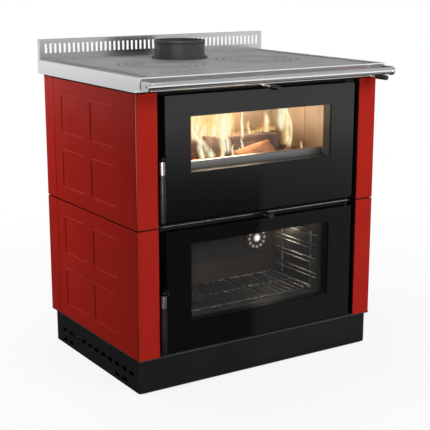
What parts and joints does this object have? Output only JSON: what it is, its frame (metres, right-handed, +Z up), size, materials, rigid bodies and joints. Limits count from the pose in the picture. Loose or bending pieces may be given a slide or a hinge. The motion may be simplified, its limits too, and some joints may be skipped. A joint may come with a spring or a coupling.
{
  "type": "wood cookstove",
  "caption": "Free-standing wood cookstove with a glazed firebox over a glazed oven, a cast-iron hob with lift-out rings, enamelled sides and a front hand rail.",
  "frame": {"origin": "on the floor under the middle of the stove's overall box", "axes": "+X to the stove's right as seen from its front, +Y to its rear, +Z up"},
  "size_m": [0.804, 0.6765, 0.92],
  "materials": {
    "red_enamel": "glossy enamel",
    "stainless": "satin",
    "cast_iron": "ground and blackened",
    "black_paint": "satin heat paint",
    "dark_steel": "matte heat paint",
    "zinc_steel": "zinc plated",
    "black_glass": "black-edged ceramic glass",
    "clear_glass": "clear",
    "firebrick": "matte",
    "oven_enamel": "semi-gloss enamel",
    "bright_wire": "bright",
    "seal_rope": "woven fibre",
    "black_knob": "satin"
  },
  "bodies": {
    "stove": {"upper_left_panel": "red_enamel", "upper_right_panel": "red_enamel", "lower_left_panel": "red_enamel", "lower_right_panel": "red_enamel", "hob_frame": "stainless", "backsplash": "stainless", "hand_rail": "stainless", "rail_brackets": "stainless", "door_trim": "stainless", "hob_plate": "cast_iron", "hob_vents": "cast_iron", "flue_collar": "cast_iron", "grate": "cast_iron", "log_guard": "cast_iron", "front_frame": "black_paint", "plinth_front": "black_paint", "plinth_left": "black_paint", "plinth_right": "black_paint", "latch_keepers": "black_paint", "hinge_brackets": "black_paint", "base_plate": "dark_steel", "inner_walls": "dark_steel", "firebox_casing": "dark_steel", "smoke_baffle": "dark_steel", "rear_panel": "dark_steel", "levelling_feet": "zinc_steel", "rear_screws": "zinc_steel", "rail_screws": "zinc_steel", "oven_lamp": "clear_glass", "side_firebricks": "firebrick", "rear_firebrick": "firebrick", "hearth": "firebrick", "oven_liner": "oven_enamel", "oven_racks": "bright_wire"},
    "firebox_door": {"firebox_door_glass": "black_glass", "firebox_door_frame": "black_paint", "firebox_door_liner": "dark_steel", "firebox_door_gasket": "seal_rope"},
    "firebox_lever": {"firebox_handle": "stainless", "firebox_grip": "black_knob"},
    "oven_door": {"oven_door_glass": "black_glass", "oven_door_frame": "black_paint", "oven_door_liner": "dark_steel", "oven_door_gasket": "seal_rope", "oven_inner_glass": "clear_glass"},
    "oven_lever": {"oven_handle": "stainless", "oven_grip": "black_knob"},
    "ash_pan": {"ash_drawer": "dark_steel"},
    "shelf": {"oven_shelf": "bright_wire"},
    "secondary_air": {"secondary_air_rod": "stainless", "secondary_air_knob": "black_knob"},
    "primary_air": {"primary_air_rod": "stainless", "primary_air_knob": "black_knob"},
    "bypass": {"bypass_rod": "stainless", "bypass_knob": "black_knob", "bypass_damper": "dark_steel"},
    "ring_left": {"hob_ring_left": "cast_iron"},
    "ring_right": {"hob_ring_right": "cast_iron"},
    "lid_left": {"hob_lid_left": "cast_iron"},
    "lid_right": {"hob_lid_right": "cast_iron"}
  },
  "joints": [
    {"name": "firebox_door_swing", "type": "hinge", "parent": "stove", "child": "firebox_door", "pos_m": [0.306, -0.24975, 0.638], "axis": [0, 0, 1], "range_deg": [0, 100]},
    {"name": "oven_door_swing", "type": "hinge", "parent": "stove", "child": "oven_door", "pos_m": [0.306, -0.24975, 0.2755], "axis": [0, 0, 1], "range_deg": [0, 100]},
    {"name": "firebox_lever_pull", "type": "hinge", "parent": "firebox_door", "child": "firebox_lever", "pos_m": [-0.3245, -0.26575, 0.642], "axis": [-1, 0, 0], "range_deg": [0, 35]},
    {"name": "oven_lever_pull", "type": "hinge", "parent": "oven_door", "child": "oven_lever", "pos_m": [-0.3245, -0.26575, 0.279], "axis": [-1, 0, 0], "range_deg": [0, 35]},
    {"name": "ash_drawer_slide", "type": "slide", "parent": "stove", "child": "ash_pan", "axis": [0, -1, 0], "range_m": [0, 0.18]},
    {"name": "oven_shelf_slide", "type": "slide", "parent": "stove", "child": "shelf", "axis": [0, -1, 0], "range_m": [0, 0.15]},
    {"name": "secondary_air_pull", "type": "slide", "parent": "stove", "child": "secondary_air", "axis": [0, -1, 0], "range_m": [0, 0.03]},
    {"name": "primary_air_pull", "type": "slide", "parent": "stove", "child": "primary_air", "axis": [0, -1, 0], "range_m": [0, 0.03]},
    {"name": "bypass_pull", "type": "slide", "parent": "stove", "child": "bypass", "axis": [0, -1, 0], "range_m": [0, 0.06]},
    {"name": "hob_ring_left_lift", "type": "slide", "parent": "stove", "child": "ring_left", "axis": [0, 0, 1], "range_m": [0, 0.06]},
    {"name": "hob_ring_right_lift", "type": "slide", "parent": "stove", "child": "ring_right", "axis": [0, 0, 1], "range_m": [0, 0.06]},
    {"name": "hob_lid_left_lift", "type": "slide", "parent": "ring_left", "child": "lid_left", "axis": [0, 0, 1], "range_m": [0, 0.04]},
    {"name": "hob_lid_right_lift", "type": "slide", "parent": "ring_right", "child": "lid_right", "axis": [0, 0, 1], "range_m": [0, 0.04]}
  ],
  "couplings": [
    {"joint": "ash_drawer_slide", "follows": "firebox_door_swing", "m_per_rad": 0.1031},
    {"joint": "oven_shelf_slide", "follows": "oven_door_swing", "m_per_rad": 0.0859}
  ]
}
